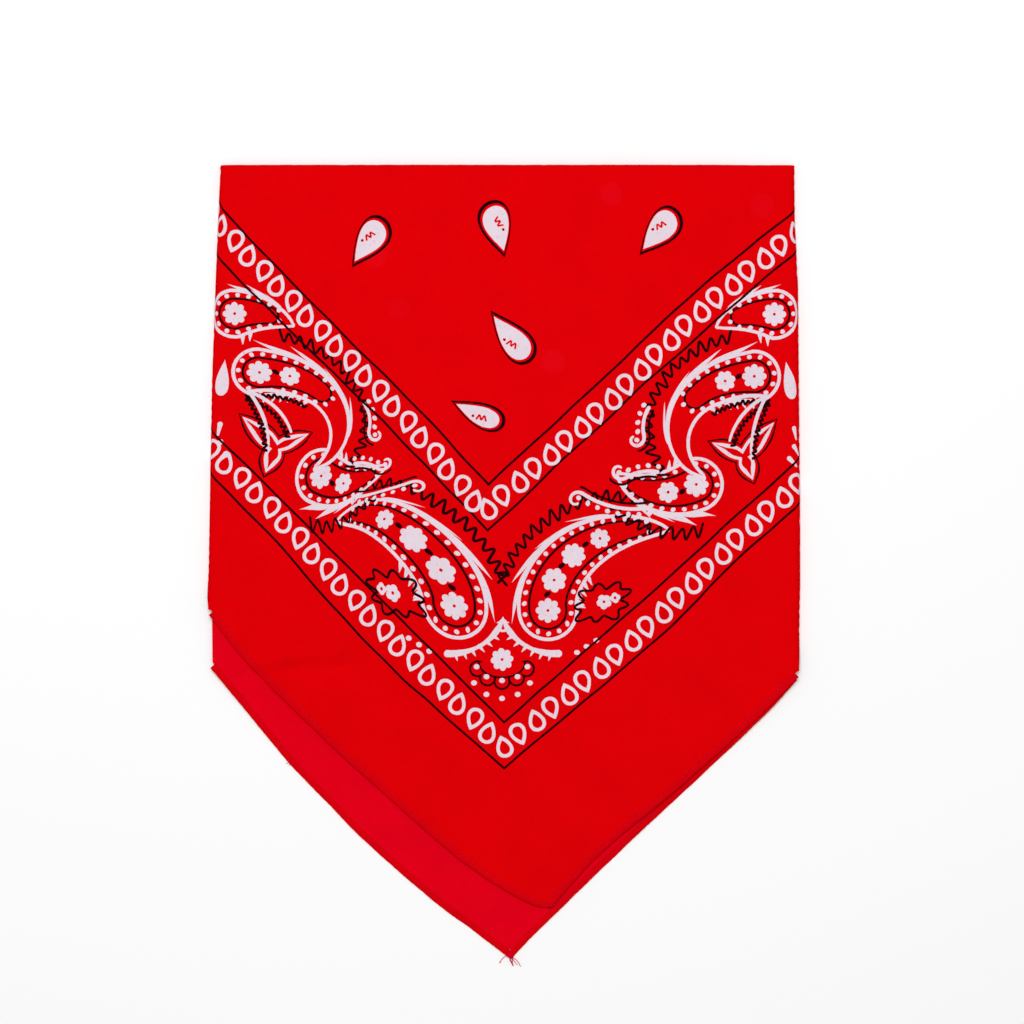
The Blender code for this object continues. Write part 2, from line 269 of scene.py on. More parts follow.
def tulip(heart, petals):
    for colour, grow in (("black", 4.4), ("red", 2.8), ("white", 0.4), ("red", -2.8)):
        for heading, long, width in petals:
            h = math.radians(heading)
            reach = long + grow * 0.62
            line = respaced(np.array((heart, (heart[0] + reach * math.cos(h), heart[1] + reach * math.sin(h)))),
            0.5)
            put(colour, sweep(line, (width * 0.8 + grow, width * 1.15 + grow, width * 0.75 + grow, max(0.15,
            0.3 + grow * 0.08))))


paisleyLook = {"line": 1.7, "inner": 0.64, "innerLine": 1.15, "tail": 2.6, "bead": 2.5, "beadPitch": 5.6,
               "zigzagAway": 9.0, "zigzagFrom": 35, "zigzagPitch": 5.6, "zigzagReach": 2.6}
paisleys = (
    {"place": (22, -24), "length": 82, "width": 28, "start": 104, "turn": -112, "ease": 0.62, "taper": 1.7,
            "body": 0.84, "flowers": 4, "flames": 4, "flameReach": 4.6, "seed": 1},
    {"place": (96, 39), "length": 42, "width": 25, "start": 208, "turn": -70, "ease": 1.0, "taper": 1.4,
            "body": 0.78, "flowers": 2, "flames": 4, "flameReach": 6.0, "seed": 7},
    {"place": (125, 93), "length": 78, "width": 24, "start": 184, "turn": 150, "ease": 1.5, "taper": 0.9,
            "body": 0.42, "flowers": 2, "flames": 4, "flameReach": 4.6, "seed": 8},
    {"place": (135, 124), "length": 30, "width": 23, "start": 172, "turn": 40, "ease": 1.0, "taper": 1.1,
            "body": 0.6, "flowers": 1, "flames": 3, "flameReach": 3.0, "seed": 15})
scrolls = (((36, 31), 5.0, -62, -1, 34, 4), ((57.5, 46), 5.2, 60, 1, 16, 5), ((65.5, 61.5), 5.0, 130, 1, 14, 6))
leaves = (((49, -20), 10.5, 0.35, 1),)
fans = (((145, 67), 5.5, -78), ((145, 58), 5.0, -55), ((142.5, 52), 5.5, -45))


def paisleyBand():
    for row in paisleys:
        paisley(row, paisleyLook)
    for row in scrolls:
        scroll(*row)
    for row in leaves:
        wavyLeaf(*row)
    tulip((120, 53), ((49, 22, 6.6), (157, 17, 5.2), (-70, 12, 6.6)))
    # the long leaves between the long paisley and the tulip
    for start, turn in ((172, 40), (205, 50), (240, 30)):
        line = curling((131, 83), 30, start, turn, 1.0)
        put("white", sweep(line, (1.7, 1.7, 1.2)))
        jagged(line[::12] + (1.5, -3.0), 2.6, 0.9, 0.2, 0.9, start)
    for place, long, heading in fans:
        h = math.radians(heading)
        put("white", sweep(respaced(np.array((place, (place[0] + long * math.cos(h),
                place[1] + long * math.sin(h)))), 0.5), (2.4, 1.0)))
    put("white", dropOutline((142.5, 91), 19, 7.0, 100))
    for k in range(3):
        disc("white", (36.5 + 4.8 * k, -45 + 3 * k), 2.9, 2.4)


def cornerMotif(middle=(-1.0, -48.5)):
    # a flower over a row of scallops, two rows of dots, and two thorned branches above
    for colour, size in (("black", 8.6), ("red", 6.4)):
        for k in range(5):
            a = math.radians(-155 + 32.5 * k)
            disc(colour, (middle[0] + 13.5 * math.cos(a), middle[1] + 11.0 * math.sin(a)), size)
    for colour, size in (("black", 1.0), ("red", 0.0)):
        a = np.radians(np.linspace(180, 360, 30))
        put(colour, np.stack((middle[0] + (11.0 + size) * np.cos(a),
                middle[1] - 1.5 + (7.0 + size) * np.sin(a)), axis=1))
    for count, wide, tall, first, last in ((5, 13.5, 10.5, -160, -20), (5, 17.5, 19.5, -143, -37)):
        for k in range(count):
            a = math.radians(first + (last - first) * k / (count - 1))
            disc("white", (middle[0] + wide * math.cos(a), middle[1] + tall * math.sin(a)), 2.9, 2.6)
    flower(middle, 11.4, 8, 0.1)
    for hand in (-1, 1):
        branch = curling((middle[0] + 0.5, middle[1] + 21), 36, -90 + 12 * hand, 80 * hand, 0.8)
        put("white", sweep(branch, (0.6, 3.0, 2.2, 1.9, 3.0, 3.6)))
        thorns(branch, -hand, 4.4, 3.6, 2.2, 0.2)


bandShifts = (  # how the left half was laid: middle, reach, and how far it is pulled
    ((-45, 10), 34, (-12.5, 9.5)), ((-108, 55), 46, (6.5, 4.5)))


def pulled(points):
    p = np.asarray(points, float)
    out = p.copy()
    for middle, reach, shift in bandShifts:
        near = np.exp(-(np.linalg.norm(p - middle, axis=1) / reach) ** 2)
        out += near[:, None] * shift
    return out


border = {"lineWidth": 1.15, "dropLength": 11.6, "dropWidth": 8.6, "ringWidth": 1.75, "pitch": 10.5,
        "pairUp": 0.9}
borderLines = (  # each arm from its corner outwards
    ((0, -103), (79, -36), (120, 5), (179, 55)), ((0, -80), (78, -11), (130, 36), (179, 79)),
    ((-8, 16), (68, 87), (128, 140), (179, 181)), ((-8, 39), (55, 97), (100, 139), (179, 202)),
    ((0, -103), (-63, -46), (-121, 18), (-178, 75)), ((0, -80), (-67, -13), (-123, 43), (-178, 95)),
    ((-8, 16), (-60, 70), (-110, 119), (-178, 188)), ((-8, 39), (-50, 84), (-118, 152), (-178, 218)))
dropRows = (  # each arm from its corner outwards, then the headings of the first and second ring of a pair
    ((0, -92), (64, -39), (121, 16), (179, 67), 113.0, -67.0),
            ((-8, 27), (48, 76), (100, 127), (179, 191), 113.0, -67.0),
    ((-8, -85), (-63, -31), (-121, 32), (-178, 85), 67.0, -113.0),
            ((-15, 31), (-57, 80), (-110, 135), (-178, 206), 67.0, -113.0))


def borders():
    for points in borderLines:
        line = smoothPath(points, 0.6)
        wobble = np.array([noise.noise(Vector((p[0] * 0.05, p[1] * 0.05, 7.0))) for p in line])
        put("black", sweep(line + sideways(line) * wobble[:, None] * 0.5, border["lineWidth"]))
    for row in dropRows:
        line = respaced(smoothPath(row[:-2], 0.3), border["pitch"])
        run = np.gradient(line, axis=0)
        for k, p in enumerate(line[:-1]):
            wild = noise.noise(Vector((p[0] * 0.31, p[1] * 0.27, 3.3)))
            p = p - run[k] / np.linalg.norm(run[k]) * border["pairUp"] * (k % 2)
            heading = row[-2 + k % 2] + 7 * wild
            for colour, shrink in (("white", 0.0), ("red", 2 * border["ringWidth"])):
                back = np.array((math.cos(math.radians(heading)),
                math.sin(math.radians(heading)))) * 0.12 * shrink
                put(colour, dropOutline(p - back, border["dropLength"] + 0.5 * wild - shrink * 1.2,
                border["dropWidth"] - shrink, heading, 0.0, 0.8))


def fieldDrops():
    for centre, length, width, heading, bend in (
            ((-69.0, 161.8), 28, 18.5, 214, 0.30), ((-1.5, 167.8), 28, 18.5, -56, -0.26),
            ((76.0, 167.2), 28, 18.5, 208, 0.30),
            ((2.0, 110.2), 31, 18, 150, -0.30), ((-13.5, 72.8), 29, 14.5, 168, -0.18)):
        for colour, shrink in (("black", 0.0), ("red", 2.4), ("white", 4.2)):
            put(colour, dropOutline(centre, length - shrink * 1.5, width - shrink, heading, bend, 1.15))
        h = math.radians(heading)
        back = np.array((-math.cos(h), -math.sin(h)))
        side = np.array((-back[1], back[0]))
        middle = np.array(centre) + back * 2.6
        brush("red", [middle + back * 2.4 * t + side * 1.1 * (1 if k % 2 else -1) for k, t in enumerate((-1.1,
                -0.6, -0.1, 0.4, 0.9))], 0.95)
        disc("red", middle - back * 4.6, 1.5)
        disc("black", middle - back * 4.9, 0.7)


bandStart = len(inks)
paisleyBand()
half = inks[bandStart:]
inks.extend((colour, pulled(outline * (-1, 1))) for colour, outline in list(half))
cornerMotif()
borders()
fieldDrops()
print("print drawn:", len(inks), "shapes")

# the laid shape
cloth = {"thick": 0.35, "grid": 2.6, "rimRound": 3.0, "underTurn": 1.9}
topY = 198.76
sideLeft = np.array(((198.8, -142), (153.8, -144), (88.8, -146.4), (18.8, -147.6), (-17.2, -148.4),
        (-26.0, -147.6), (-200, -146)))
sideRight = np.array(((198.8, 145.5), (173.8, 145.6), (138.8, 147.3), (78.8, 147.9), (18.8, 148.4),
        (-13.2, 148.4), (-49.2, 147.8), (-57.2, 147.3), (-200, 147)))


def sideAt(side, y):
    return np.interp(-y, -side[:, 0], side[:, 1])


def outsideOf(x, y, corners):
    corners = np.array(corners, float)
    nearest = np.full(np.shape(x), 1e9)
    inside = np.zeros(np.shape(x), bool)
    for a, b in zip(corners, np.roll(corners, -1, axis=0)):
        run = b - a
        t = np.clip(((x - a[0]) * run[0] + (y - a[1]) * run[1]) / (run @ run), 0, 1)
        nearest = np.minimum(nearest, np.hypot(x - a[0] - t * run[0], y - a[1] - t * run[1]))
        crosses = (a[1] > y) != (b[1] > y)
        inside ^= crosses & (x < a[0] + (y - a[1]) * (run[0] / run[1] if run[1] else 0.0))
    return np.where(inside, 0.0, nearest)


rightFlap = ((147.3, 198.8), (-91, 198.8), (-114.4, 177.0), (146.6, -56.5), (147.3, -57.2))
leftFlap = ((-147.6, 198.8), (87, 198.8), (86.3, 198.0), (-136.2, -38.2), (-147.6, -26.2))


def eased(t):
    t = np.clip(t, 0, 1)
    return t * t * (3 - 2 * t)


def stack(x, y):
    # how far the hidden layers lift what lies over them
    right = 1 - eased((outsideOf(x, y, rightFlap) - 4) / 58)
    left = 1 - eased((outsideOf(x, y, leftFlap) - 4) / 58)
    return 1.9 * (right + left)


frontCreases = (  # soft ridges and troughs: from, to, width, height
    ((-66.5, 71.2), (-69.5, 46.2), 2.6, 1.5), ((-69.5, 46.2), (-73.5, 31.2), 2.4, 1.7),
            ((-73.5, 31.2), (-63.0, 3.2), 2.4, 1.6), ((-62.0, 3.2), (-39.0, -7.2), 2.2, 1.1),
    ((-39.0, -7.2), (-17.5, -23.2), 2.2, 1.0), ((-71.0, 77.2), (-64.0, 79.2), 2.2, 0.8),
            ((-63.0, 61.2), (-66.0, 31.2), 4.0, -0.7), ((-76.0, 31.2), (-69.0, 8.8), 4.0, -0.6),
    ((-111.0, 131.2), (-110.0, 114.2), 2.2, 0.7), ((-121.0, -56.8), (-107.0, -52.8), 4.0, -1.6),
            ((-107.0, -52.8), (-79.5, -50.8), 4.6, -1.5), ((-79.5, -50.8), (-46.0, -74.2), 6.0, -0.9),
    ((-121.0, -49.8), (-87.0, -46.2), 5.0, 0.9), ((-128.0, -13.2), (-106.5, 2.2), 5.0, -0.8),
            ((-120.0, -26.8), (-114.5, -47.8), 5.0, -1.1), ((-110.0, -24.8), (-107.0, -46.2), 5.0, 0.6),
    ((-56.5, 163.8), (-43.0, 145.2), 4.2, -0.7), ((-43.0, 145.2), (-42.0, 126.8), 4.2, -0.8),
            ((-42.0, 126.8), (-52.5, 110.8), 4.2, -0.6), ((36.0, 150.8), (52.0, 126.8), 5.0, -0.6),
    ((49.5, 189.2), (62.5, 179.8), 3.5, -0.6), ((-44.5, 106.2), (-32.0, 105.2), 7.0, -0.5),
            ((-24.5, -129.8), (7.0, -111.2), 7.0, -0.9), ((7.0, -111.2), (28.0, -103.2), 7.0, -0.8),
    ((70.5, -74.2), (78.5, -87.8), 6.0, -0.6), ((54.5, -58.2), (60.0, -63.8), 8.0, -0.5),
            ((-137.0, 1.2), (-136.0, -28.8), 7.0, -0.8), ((-141.0, 156.2), (-140.0, 71.2), 9.0, -0.6),
    ((18.0, -148.8), (68.0, -113.8), 16.0, 0.9), ((98.0, -38.8), (133.0, -18.8), 12.0, -0.6),
            ((-87.0, 173.8), (-72.0, 191.2), 9.0, -0.5), ((98.0, 91.2), (128.0, 131.2), 14.0, 0.5))
backCreases = (((-134.0, -58.8), (-123.0, -52.8), 3.5, -0.9), ((-127.0, -71.2), (-121.0, -66.2), 4.0, -0.7),
        ((-17.0, -181.2), (13.0, -178.8), 7.0, -0.8), ((-102.0, -91.2), (-92.0, -106.2), 6.0, 0.6),
               ((-52.0, -143.8), (-37.0, -158.8), 8.0, -0.6), ((-12.0, -171.2), (-2.0, -186.2), 6.0, 0.6))


def creased(x, y, creases):
    lift = np.zeros(np.shape(x))
    for a, b, width, high in creases:
        run = np.array(b) - np.array(a)
        t = np.clip(((x - a[0]) * run[0] + (y - a[1]) * run[1]) / (run @ run), 0, 1)
        away = np.hypot(x - a[0] - t * run[0], y - a[1] - t * run[1])
        fade = 0.75 + 0.25 * np.sin(math.pi * t)
        lift += high * fade * np.exp(-(away / width) ** 2)
    return lift


def waves(x, y, seed):
    z = np.zeros(np.shape(x))
    for k, (long, high) in enumerate(((95, 0.55), (52, 0.32), (27, 0.14), (13, 0.05))):
        turn = seed * 1.3 + k * 0.9
        u = (x * math.cos(turn) + y * math.sin(turn)) / long * 6.28
        v = (y * math.cos(turn) - x * math.sin(turn)) / long * 5.1
        z += high * np.sin(u + 1.7 * np.sin(v * 0.7 + seed)) * np.cos(v + 1.1 * np.sin(u * 0.6))
    return z


def backTop(x, y):
    return stack(x, y) + 0.75 + 0.35 * waves(x, y, 5) * 0.8 + 0.55 * creased(x, y, backCreases)


def frontTop(x, y):
    return stack(x, y) + 2.75 + 0.55 * waves(x, y, 2) + 0.62 * creased(x, y, frontCreases)


def frontLay(p):
    # flat cloth to its laid place; the sides turn down to the table and the top turns down to the back layer
    x, y = p[:, 0].copy(), p[:, 1].copy()
    r = cloth["rimRound"]
    left, right = sideAt(sideLeft, y), sideAt(sideRight, y)
    z = frontTop(np.clip(x, left, right), np.minimum(y, topY))
    low = np.zeros(len(x))
    leftFade = eased((y + 26) / 22)
    for sign, edge in ((1, left), (-1, right)):
        down = z - 0.1
        fade = leftFade if sign > 0 else eased((y + 57) / 22)
        down = down * fade + 0.5 * (1 - fade)
        reach = math.pi / 2 * np.sqrt((r * r + down * down) / 2)
        s = r - sign * (x - edge)
        turn = np.clip(s / reach, 0, 1) * math.pi / 2
        over = np.maximum(s - reach, 0)
        x = np.where(s > 0, edge + sign * (r - r * np.sin(turn) + over), x)
        low = np.maximum(low, np.where(s > 0, down * (1 - np.cos(turn)), 0))
    rt = 1.6
    s = rt - (topY - y)
    down = 2.2
    reach = math.pi / 2 * math.sqrt((rt * rt + down * down) / 2)
    turn = np.clip(s / reach, 0, 1) * math.pi / 2
    y = np.where(s > 0, topY - (rt - rt * np.sin(turn) + np.maximum(s - reach, 0)), y)
    low = np.maximum(low, np.where(s > 0, down * (1 - np.cos(turn)), 0))
    return np.stack((x, y, z - low), axis=1)


def backLay(p):
    x, y = p[:, 0], p[:, 1]
    z = np.minimum(backTop(x, y), frontTop(x, y) - 1.0)
    return np.stack((x, y, np.maximum(z, 0.42)), axis=1)


# cloth pieces
def insideOf(points, outline):
    x, y = points[:, 0], points[:, 1]
    count = np.zeros(len(points), int)
    a, b = outline, np.roll(outline, -1, axis=0)
    for (ax, ay), (bx, by) in zip(a, b):
        if ay == by:
            continue
        side = (bx - ax) * (y - ay) - (x - ax) * (by - ay)
        count += np.where((ay <= y) & (by > y) & (side > 0), 1, 0) - np.where((ay > y) & (by <= y) & (side < 0),
                1, 0)
    return count != 0


def inlaid(outline, shapes, grid):
    # one flat mesh of triangles that keeps every printed edge, and the ink on each triangle
    points, edges = [], []

    def ring(line):
        start = len(points)
        points.extend(map(tuple, line))
        edges.extend((start + k, start + (k + 1) % len(line)) for k in range(len(line)))

    ring(outline)
    low, high = outline.min(axis=0), outline.max(axis=0)
    kept = []
    for colour, shape in shapes:
        if (shape.max(axis=0) < low).any() or (shape.min(axis=0) > high).any():
            continue
        rough = np.array([noise.noise_vector(Vector((x * 1.4, y * 1.4, 0.3)))[:2] for x, y in shape]) * 0.10
        kept.append((colour, shape + rough))
        ring(kept[-1][1])
    rng = np.random.default_rng(4)
    gx, gy = np.meshgrid(np.arange(low[0], high[0], grid), np.arange(low[1], high[1], grid * 0.87))
    gx[1::2] += grid / 2
    free = np.stack((gx.ravel(), gy.ravel()), axis=1) + rng.uniform(-0.1, 0.1, (gx.size, 2)) * grid
    free = free[insideOf(free, outline)]
    points.extend(map(tuple, free))
    got = delaunay_2d_cdt([Vector(p) for p in points], edges, [], 0, 1e-4)
    flat = np.array([tuple(v) for v in got[0]])
    tris = np.array([f for f in got[2] if len(f) == 3])
    middle = flat[tris].mean(axis=1)
    keep = insideOf(middle, outline)
    tris, middle = tris[keep], middle[keep]
    ink = np.zeros(len(tris), int)
    code = {"red": 0, "white": 1, "black": 2}
    order = np.argsort(middle[:, 0])
    sortedX = middle[order, 0]
    for colour, shape in kept:
        a, b = np.searchsorted(sortedX, (shape[:, 0].min(), shape[:, 0].max()))
        spot = order[a:b]
        spot = spot[(middle[spot, 1] > shape[:, 1].min()) & (middle[spot, 1] < shape[:, 1].max())]
        if len(spot):
            hit = insideOf(middle[spot], shape)
            ink[spot[hit]] = code[colour]
    return flat, tris, ink


def rimOf(tris):
    # the outer edge of a sheet of triangles, as pairs of corners in walking order
    pairs = {(int(t[k]), int(t[(k + 1) % 3])) for t in tris for k in range(3)}
    after = {a: b for a, b in pairs if (b, a) not in pairs}
    walk = [min(after)]
    while after[walk[-1]] != walk[0]:
        walk.append(after[walk[-1]])
    return walk


def upward(flat, tris):
    one, two = flat[tris[:, 1]] - flat[tris[:, 0]], flat[tris[:, 2]] - flat[tris[:, 0]]
    turned = one[:, 0] * two[:, 1] - one[:, 1] * two[:, 0] < 0
    tris[turned] = tris[turned][:, ::-1]
    used = np.unique(tris)
    place = np.full(len(flat), -1)
    place[used] = np.arange(len(used))
    return flat[used], place[tris]


def clothMesh(name, outline, shapes, grid, lay, materials, printedUp=True, plainMaterial=3):
    # a closed shell: the printed side keeps every printed edge, the plain side is a coarser mesh
    flat, tris, ink = inlaid(outline, shapes, grid)
    flat, tris = upward(flat, tris)
    walk = rimOf(tris)
    plainFlat, plainTris = inlaid(flat[walk], [], grid)[:2]
    plainFlat, plainTris = upward(plainFlat, plainTris)
    match = {k: int(np.argmin(((plainFlat - flat[k]) ** 2).sum(axis=1))) for k in walk}

    def laid(points, drop):
        e = 0.15
        place = lay(points)
        normal = np.cross(lay(points + (e, 0)) - lay(points - (e, 0)),
                lay(points + (0, e)) - lay(points - (0, e)))
        normal /= np.maximum(np.linalg.norm(normal, axis=1), 1e-9)[:, None]
        place = place - normal * drop
        place[:, 2] = np.maximum(place[:, 2], 0.03)
        return place, normal

    plain = np.full(len(plainTris), plainMaterial)
    if printedUp:
        upFlat, upTris, upInk, downFlat, downTris, downInk = flat, tris, ink, plainFlat, plainTris, plain
    else:
        upFlat, upTris, upInk, downFlat, downTris, downInk = plainFlat, plainTris, plain, flat, tris, ink
    up, upNormal = laid(upFlat, 0)
    down, downNormal = laid(downFlat, cloth["thick"])
    n = len(up)
    faces = upTris.tolist() + (downTris[:, ::-1] + n).tolist()
    for a, b in zip(walk, walk[1:] + walk[:1]):
        upA, upB, downA, downB = (a, b, match[a], match[b]) if printedUp else (match[a], match[b], a, b)
        side = [upB, upA, downA + n, downB + n]
        faces.append([v for k, v in enumerate(side) if v not in side[:k]])
    mesh = bpy.data.meshes.new(name)
    mesh.from_pydata((np.vstack((up, down)) * mm).tolist(), [], faces)
    for m in materials:
        mesh.materials.append(m)
    index = np.concatenate((upInk, downInk, np.full(len(walk), plainMaterial)))
    mesh.polygons.foreach_set("material_index", index.astype(np.int32))
    mesh.polygons.foreach_set("use_smooth", np.ones(len(faces), bool))
    uv = mesh.uv_layers.new(name="weave")
    loops = np.empty(len(mesh.loops), np.int32)
    mesh.loops.foreach_get("vertex_index", loops)
    uv.data.foreach_set("uv", (np.vstack((upFlat, downFlat))[loops] * mm).astype(np.float32).ravel())
    mesh.update()
    mesh.normals_split_custom_set_from_vertices(np.vstack((upNormal, -downNormal)).tolist())
    obj = bpy.data.objects.new(name, mesh)
    bpy.context.scene.collection.objects.link(obj)
    print(name, sum(len(f) - 2 for f in faces), "triangles")
    return obj


# materials
def cottonMaterial(name, colour, pink, patchy=0.0, roughness=0.88, stains=()):
    m = bpy.data.materials.new(name)
    m.use_nodes = True
    nodes, links = m.node_tree.nodes, m.node_tree.links
    shader = nodes["Principled BSDF"]
    shader.inputs["Roughness"].default_value = roughness
    shader.inputs["Specular IOR Level"].default_value = 0.0
    uv = nodes.new("ShaderNodeUVMap")
    uv.uv_map = "weave"
    lay = nodes.new("ShaderNodeMapping")
    lay.inputs["Rotation"].default_value = (0, 0, math.radians(45))
    links.new(uv.outputs["UV"], lay.inputs["Vector"])
    threads = []
    for direction in ("X", "Y"):
        wave = nodes.new("ShaderNodeTexWave")
        wave.wave_type = "BANDS"
        wave.bands_direction = direction
        wave.inputs["Scale"].default_value = 760.0
        wave.inputs["Distortion"].default_value = 1.4
        wave.inputs["Detail"].default_value = 1.0
        wave.inputs["Detail Scale"].default_value = 0.6
        links.new(lay.outputs["Vector"], wave.inputs["Vector"])
        stretch = nodes.new("ShaderNodeMapping")
        stretch.inputs["Scale"].default_value = (2600, 160, 1) if direction == "X" else (160, 2600, 1)
        links.new(lay.outputs["Vector"], stretch.inputs["Vector"])
        slub = nodes.new("ShaderNodeTexNoise")
        slub.inputs["Scale"].default_value = 1.0
        slub.inputs["Detail"].default_value = 2.0
        links.new(stretch.outputs["Vector"], slub.inputs["Vector"])
        threads.append((wave, slub))

    def mixed(kind, a, b):
        node = nodes.new("ShaderNodeMath")
        node.operation = kind
        links.new(a, node.inputs[0])
        if isinstance(b, float):
            node.inputs[1].default_value = b
        else:
            links.new(b, node.inputs[1])
        return node.outputs[0]

    weave = mixed("MULTIPLY", threads[0][0].outputs["Fac"], threads[1][0].outputs["Fac"])
    slubs = mixed("ADD", threads[0][1].outputs["Fac"], threads[1][1].outputs["Fac"])
    cloud = nodes.new("ShaderNodeTexNoise")
    cloud.inputs["Scale"].default_value = 42.0
    cloud.inputs["Detail"].default_value = 4.0
    links.new(uv.outputs["UV"], cloud.inputs["Vector"])
    tone = mixed("ADD", mixed("MULTIPLY", slubs, 0.30), mixed("MULTIPLY", cloud.outputs["Fac"], 0.28))
    ramp = nodes.new("ShaderNodeValToRGB")
    links.new(tone, ramp.inputs["Fac"])
    ramp.color_ramp.elements[0].position = 0.28
    ramp.color_ramp.elements[1].position = 0.62
    ramp.color_ramp.elements[0].color = (*[c * 0.88 for c in colour], 1)
    ramp.color_ramp.elements[1].color = (*[min(c * 1.08, 1) for c in colour], 1)
    base = ramp.outputs["Color"]
    if patchy or stains:
        spots = nodes.new("ShaderNodeTexNoise")
        spots.inputs["Scale"].default_value = 520.0 if patchy else 30.0
        spots.inputs["Detail"].default_value = 3.0
        links.new(uv.outputs["UV"], spots.inputs["Vector"])
        cut = nodes.new("ShaderNodeMapRange")
        cut.inputs["From Min"].default_value = 0.60 if patchy else 0.5
        cut.inputs["From Max"].default_value = 0.74
        cut.inputs["To Max"].default_value = patchy if patchy else 0.0
        links.new(spots.outputs["Fac"], cut.inputs["Value"])
        amount = cut.outputs["Result"]
        for place, size, strength in stains:
            away = nodes.new("ShaderNodeVectorMath")
            away.operation = "DISTANCE"
            links.new(uv.outputs["UV"], away.inputs[0])
            away.inputs[1].default_value = (place[0] * mm, place[1] * mm, 0)
            near = nodes.new("ShaderNodeMapRange")
            near.interpolation_type = "SMOOTHSTEP"
            near.inputs["From Min"].default_value = size * mm
            near.inputs["From Max"].default_value = size * mm * 0.55
            near.inputs["To Max"].default_value = strength
            links.new(away.outputs["Value"], near.inputs["Value"])
            amount = mixed("ADD", amount, near.outputs["Result"])
        mix = nodes.new("ShaderNodeMix")
        mix.data_type = "RGBA"
        links.new(amount, mix.inputs["Factor"])
        links.new(base, mix.inputs["A"])
        mix.inputs["B"].default_value = (*pink, 1)
        base = mix.outputs["Result"]
    links.new(base, shader.inputs["Base Color"])
    bump = nodes.new("ShaderNodeBump")
    bump.inputs["Strength"].default_value = 0.35
    bump.inputs["Distance"].default_value = 0.00012
    links.new(mixed("ADD", mixed("MULTIPLY", weave, 0.6), slubs), bump.inputs["Height"])
    links.new(bump.outputs["Normal"], shader.inputs["Normal"])
    return m


stainSpots = (((-64.5, 153.2), 7.5, 0.10), ((53.5, 183.8), 7.0, 0.10), ((129.0, 178.2), 7.0, 0.08),
        ((24.5, 100.2), 7.5, 0.10), ((-52.5, 126.8), 6.5, 0.06))
redCloth = cottonMaterial("redPrintedCotton", (0.728, 0.0004, 0.0022), (0.80, 0.012, 0.035), stains=stainSpots)
wrongSide = cottonMaterial("redWrongSide", (0.762, 0.0005, 0.0100), (0.8, 0.02, 0.05))
hemCloth = cottonMaterial("redHem", (0.67, 0.0005, 0.0035), (0.8, 0.012, 0.03))
whiteInk = cottonMaterial("whiteInk", (0.775, 0.66, 0.737), (0.82, 0.16, 0.30), patchy=0.45, roughness=0.75)
blackInk = cottonMaterial("blackInk", (0.020, 0.0012, 0.003), (0.16, 0.002, 0.006), patchy=0.5, roughness=0.8)
threadRed = cottonMaterial("looseThread", (0.62, 0.004, 0.05), (0.8, 0.05, 0.2))
printed = (redCloth, whiteInk, blackInk, wrongSide)

# outlines of the cut edges, laid
def cutEdge(rows):
    return tuple((across, topY - down) for down, across in rows)


# the cut edges as the panels have them: down from the top fold, and across
frontHemLeft = cutEdge((
    (225, -147.6), (251, -126.5), (289, -88), (312, -62.5), (335, -37), (350.5, -18), (363, 1), (369.8, 14),
    (371.5, 22.5)))
frontHemRight = cutEdge(((256, 147.3), (276.5, 126.5), (309, 90.5), (339, 54), (355.5, 37.5), (371.5, 23.5)))
backHemLeft = cutEdge((
    (251.5, -147.0), (276.5, -126.5), (299.5, -107.5), (319.7, -88), (339, -69), (367, -37), (382, -17.2),
    (397.5, 3.2)))
backHemRight = cutEdge((
    (257.5, 146.6), (273, 132.6), (302, 102.6), (335.5, 66.5), (376.5, 24.1), (393.5, 7.1), (397.5, 4.2)))


def insetLine(points, amount, step=1.0):
    line = smoothPath(points, step)
    return line + sideways(line) * amount


def sideLine(side, top, bottom, outward, count=120):
    y = np.linspace(top, bottom, count)
    return np.stack((sideAt(side, y) + outward, y), axis=1)


hem = {"width": 3.5, "pucker": 0.16, "puckerLength": 3.3}
tuckIn = hem["width"] - 0.5
rimOut = 2.9 + cloth["underTurn"]
leftEdge = insetLine(frontHemLeft, tuckIn)
rightEdge = insetLine(frontHemRight, -tuckIn)
leftEdge, rightEdge = leftEdge[leftEdge[:, 0] < 20.5], rightEdge[rightEdge[:, 0] > 22.0]


def edgeFade(side, bottom):
    y = np.linspace(topY + 3.2, bottom, 150)
    out = rimOut * eased((y - bottom - 2) / 24)
    return y, out


yl, outL = edgeFade(sideLeft, leftEdge[0][1] + 1.0)
yr, outR = edgeFade(sideRight, rightEdge[0][1] + 1.0)
frontOutline = np.vstack((
    np.stack((sideAt(sideLeft, yl) - outL, yl), axis=1), leftEdge, rightEdge[::-1],
    np.stack((sideAt(sideRight, yr) + outR, yr), axis=1)[::-1]))
frontCloth = clothMesh("frontCloth", frontOutline, inks, cloth["grid"], frontLay, printed)

backLeftEdge, backRightEdge = insetLine(backHemLeft, tuckIn), insetLine(backHemRight, -tuckIn)
backLeftEdge, backRightEdge = backLeftEdge[backLeftEdge[:, 0] < 2.6], backRightEdge[backRightEdge[:, 0] > 4.2]
backOutline = np.vstack((
    sideLine(sideLeft, topY - 1.6, backLeftEdge[0][1] + 1.0, 1.6), backLeftEdge, backRightEdge[::-1],
    sideLine(sideRight, topY - 1.6, backRightEdge[0][1] + 1.0, -1.6)[::-1]))
backInks = [(colour, outline + (0, -12.1)) for colour, outline in inks]
backCloth = clothMesh("backCloth", backOutline, backInks, 3.2, backLay,
        (redCloth, whiteInk, blackInk, wrongSide), printedUp=False)


def flapLay(side):
    def lay(p):
        x, y = p[:, 0], p[:, 1]
        z = 0.38 + (1.9 * (1 - eased((outsideOf(x, y, rightFlap) - 4) / 58)) if side == "left" else 0 * x)
        return np.stack((x, y, z), axis=1)
    return lay


